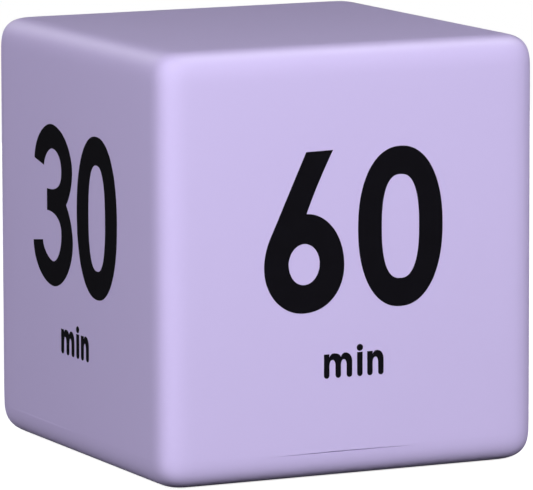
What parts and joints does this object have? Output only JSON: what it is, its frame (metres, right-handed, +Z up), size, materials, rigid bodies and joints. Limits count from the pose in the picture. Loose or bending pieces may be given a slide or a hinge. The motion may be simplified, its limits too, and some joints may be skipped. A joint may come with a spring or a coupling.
{
  "type": "cube timer",
  "caption": "Soft-edged moulded cube with a time printed on each side face, a base cover with battery door and slide switch, and ball tilt switches that sense which face is up.",
  "frame": {"origin": "middle of the underside, on the surface that the cube stands on", "axes": "+Z up; the 60 minute face looks along -Y, the 30 minute face along -X, the 15 minute face along +Y, the 5 minute face along +X"},
  "size_m": [0.061, 0.061, 0.0635],
  "materials": {
    "lavender_abs": "fine satin moulded ABS, lavender",
    "printed_ink": "pad-printed black ink, slightly glossy",
    "zinc_steel": "bright zinc-plated steel",
    "nickel_plate": "nickel-plated spring steel",
    "ball_steel": "polished",
    "cell_sleeve": "plain printed cell sleeve",
    "board_laminate": "green solder mask over glass-epoxy",
    "sealing_resin": "black epoxy dome",
    "black_plastic": "moulded black",
    "white_plastic": "moulded natural nylon",
    "ferrite": "dark ferrite and phenolic",
    "copper_winding": "enamelled copper wire",
    "red_pvc": "red PVC insulation",
    "black_pvc": "black PVC insulation"
  },
  "bodies": {
    "housing": {"body_shell": "lavender_abs", "base_cover": "lavender_abs", "cover_screw_1": "zinc_steel", "cover_screw_2": "zinc_steel", "cover_screw_3": "zinc_steel", "cover_screw_4": "zinc_steel", "cell_left": "cell_sleeve", "cell_right": "cell_sleeve", "contact_positive": "nickel_plate", "contact_negative": "nickel_plate", "contact_bridge": "nickel_plate", "spring_negative": "nickel_plate", "spring_bridge": "nickel_plate", "main_board": "board_laminate", "board_screw_1": "zinc_steel", "board_screw_2": "zinc_steel", "board_screw_3": "zinc_steel", "board_screw_4": "zinc_steel", "controller_blob": "sealing_resin", "clock_crystal": "nickel_plate", "filter_capacitor": "black_plastic", "boost_coil": "ferrite", "driver_transistor": "black_plastic", "tilt_60_can": "nickel_plate", "tilt_60_header": "black_plastic", "tilt_30_can": "nickel_plate", "tilt_30_header": "black_plastic", "tilt_15_can": "nickel_plate", "tilt_15_header": "black_plastic", "tilt_5_can": "nickel_plate", "tilt_5_header": "black_plastic", "switch_frame": "zinc_steel", "switch_base": "ferrite", "sounder_case": "black_plastic", "sounder_diaphragm": "zinc_steel", "sounder_coil": "copper_winding", "sounder_plate": "board_laminate", "wire_battery_red": "red_pvc", "wire_battery_black": "black_pvc", "wire_switch_red": "red_pvc", "wire_sounder_red": "red_pvc", "wire_sounder_black": "black_pvc"},
    "door": {"battery_door": "lavender_abs"},
    "switch_slider": {"switch_lever": "white_plastic", "switch_knob": "black_plastic"},
    "ball_60": {"tilt_60_ball": "ball_steel"},
    "ball_30": {"tilt_30_ball": "ball_steel"},
    "ball_15": {"tilt_15_ball": "ball_steel"},
    "ball_5": {"tilt_5_ball": "ball_steel"}
  },
  "joints": [
    {"name": "door_hinge", "type": "hinge", "parent": "housing", "child": "door", "pos_m": [0, -0.0229, 0.0011], "axis": [-1, 0, 0], "range_deg": [0, 80]},
    {"name": "switch_slide", "type": "slide", "parent": "housing", "child": "switch_slider", "axis": [0, 1, 0], "range_m": [0, 0.002]},
    {"name": "ball_60_roll", "type": "slide", "parent": "housing", "child": "ball_60", "axis": [0, 0.9781, 0.2079], "range_m": [0, 0.0039]},
    {"name": "ball_30_roll", "type": "slide", "parent": "housing", "child": "ball_30", "axis": [0.9781, 0, 0.2079], "range_m": [0, 0.0039]},
    {"name": "ball_15_roll", "type": "slide", "parent": "housing", "child": "ball_15", "axis": [0, -0.9781, 0.2079], "range_m": [0, 0.0039]},
    {"name": "ball_5_roll", "type": "slide", "parent": "housing", "child": "ball_5", "axis": [-0.9781, 0, 0.2079], "range_m": [0, 0.0039]}
  ]
}
